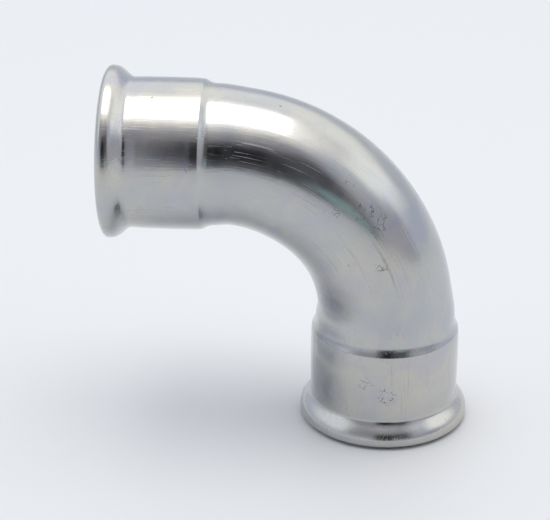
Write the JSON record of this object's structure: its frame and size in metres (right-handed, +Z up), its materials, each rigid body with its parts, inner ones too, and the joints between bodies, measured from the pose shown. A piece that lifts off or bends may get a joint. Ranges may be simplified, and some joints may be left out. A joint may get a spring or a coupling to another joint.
{
  "type": "pipe elbow",
  "caption": "Press-fit pipe elbow for stainless tube: a bent tube body with a socket and a rolled bead at each mouth, and a seal ring inside each bead.",
  "frame": {"origin": "centre of the bottom of the bounding box, in the plane of the lower mouth", "axes": "+Z up along the lower arm; the side arm's mouth faces -X; both arms lie in the XZ plane; Y is the fitting's smallest extent"},
  "size_m": [0.094, 0.0438, 0.0939],
  "materials": {
    "steel": "satin pickled stainless steel with fine drawing marks",
    "seal_rubber": "smooth black moulded rubber"
  },
  "bodies": {
    "root": {"elbow_body": "steel", "lower_seal_ring": "seal_rubber", "side_seal_ring": "seal_rubber"}
  },
  "joints": []
}
